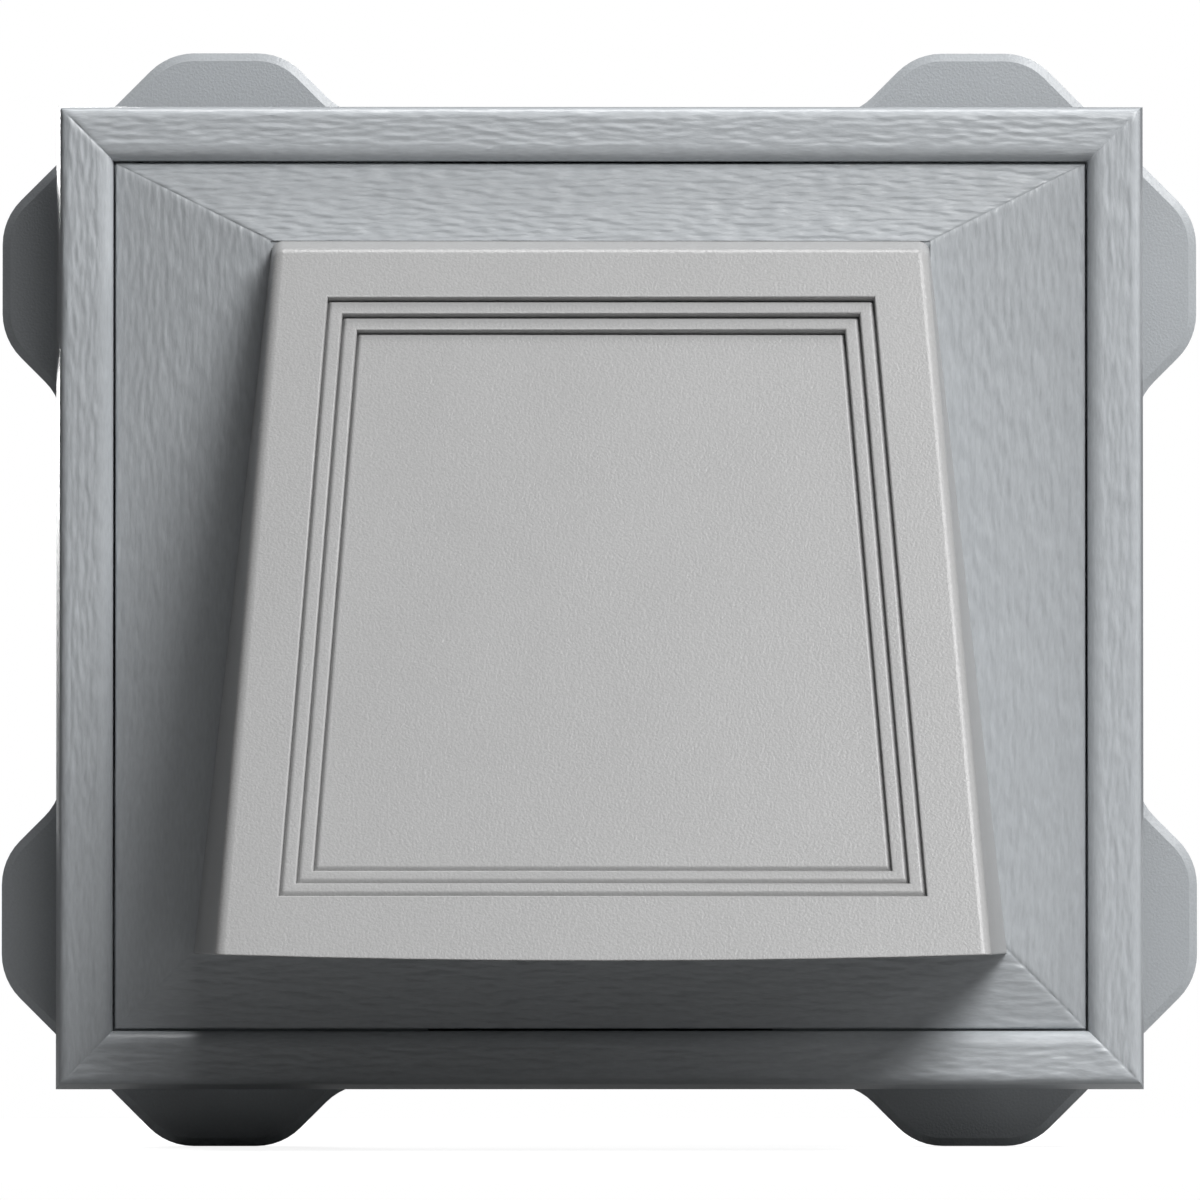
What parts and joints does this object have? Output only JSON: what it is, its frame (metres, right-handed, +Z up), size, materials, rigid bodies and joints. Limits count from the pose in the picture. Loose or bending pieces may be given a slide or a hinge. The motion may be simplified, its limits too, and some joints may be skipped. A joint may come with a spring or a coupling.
{
  "type": "hooded vent",
  "caption": "Wall vent for siding: lobed nailing flange, push-on wood-grained trim ring, sloping hood with a stepped recess, back-draught flap, guard and round duct spigot.",
  "frame": {"origin": "centre of the duct spigot in the plane of the wall, which the back of the flange lies on", "axes": "+X right as seen from the front, +Z up the wall, +Y into the wall along the duct, so the front faces -Y"},
  "size_m": [0.2096, 0.1305, 0.1918],
  "materials": {
    "grained_grey": "embossed wood grain",
    "satin_grey": "fine satin",
    "inner_grey": "smooth moulded"
  },
  "bodies": {
    "base": {"mounting_base": "grained_grey", "hood": "satin_grey", "pest_guard": "inner_grey"},
    "ring": {"trim_ring": "grained_grey"},
    "flap": {"damper_flap": "inner_grey"}
  },
  "joints": [
    {"name": "flap_hinge", "type": "hinge", "parent": "base", "child": "flap", "pos_m": [0, -0.014, 0.0526], "axis": [-1, 0, 0], "range_deg": [0, 28]},
    {"name": "ring_slide", "type": "slide", "parent": "base", "child": "ring", "axis": [0, -1, 0], "range_m": [-0.0035, 0.008]}
  ]
}
